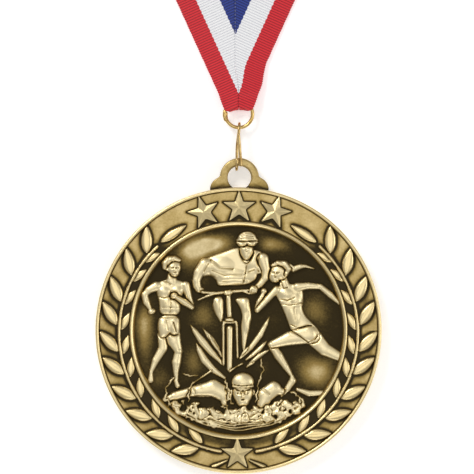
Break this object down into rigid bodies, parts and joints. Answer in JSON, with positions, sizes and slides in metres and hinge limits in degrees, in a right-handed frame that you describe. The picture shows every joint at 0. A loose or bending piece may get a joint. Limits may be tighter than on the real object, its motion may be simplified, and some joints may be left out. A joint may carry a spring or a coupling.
{
  "type": "sports finisher medal",
  "caption": "Round cast medal with relief face and wreath, hung by a tab, wire clip and ring on a striped neck ribbon.",
  "frame": {"origin": "centre of the medal disc on its flat back face", "axes": "+Z out of the relief face, +Y from the disc through its tab to the ribbon, +X to the right with the figures upright"},
  "size_m": [0.0698, 0.1766, 0.016],
  "materials": {
    "antique_brass": "antique bronze-gold, dark wash in the recesses, brushed high spots",
    "clip_wire": "plated spring wire, polished",
    "ring_wire": "plated wire, polished",
    "ribbon_cloth": "ribbed grosgrain weave, red, white and blue stripes",
    "thread": "fine white polyester sewing thread"
  },
  "bodies": {
    "medal": {"medal_body": "antique_brass"},
    "clip": {"clip_frame": "clip_wire"},
    "gate": {"clip_gate": "clip_wire"},
    "ring": {"ring": "ring_wire", "ribbon_loop": "ribbon_cloth"},
    "ribbon": {"ribbon_vee": "ribbon_cloth", "ribbon_band_left": "ribbon_cloth", "ribbon_band_right": "ribbon_cloth", "ribbon_roll": "ribbon_cloth", "seam_thread": "thread"}
  },
  "joints": [
    {"name": "clip_swing", "type": "hinge", "parent": "medal", "child": "clip", "pos_m": [0.0002, 0.04113, 0.00235], "axis": [1, 0, 0], "range_deg": [0, 85]},
    {"name": "gate_flex", "type": "hinge", "parent": "clip", "child": "gate", "pos_m": [0.00004, 0.0477, 0.00421], "axis": [0, 0, 1], "range_deg": [0, 9], "stiffness_Nm_per_rad": 0.002},
    {"name": "ring_turn", "type": "hinge", "parent": "clip", "child": "ring", "pos_m": [0.0001, 0.0529, 0.00185], "axis": [0, 0, 1], "range_deg": [-40, 40]},
    {"name": "ribbon_flex", "type": "hinge", "parent": "ring", "child": "ribbon", "pos_m": [0.0001, 0.0583, 0.00245], "axis": [1, 0, 0], "range_deg": [0, 80]}
  ]
}
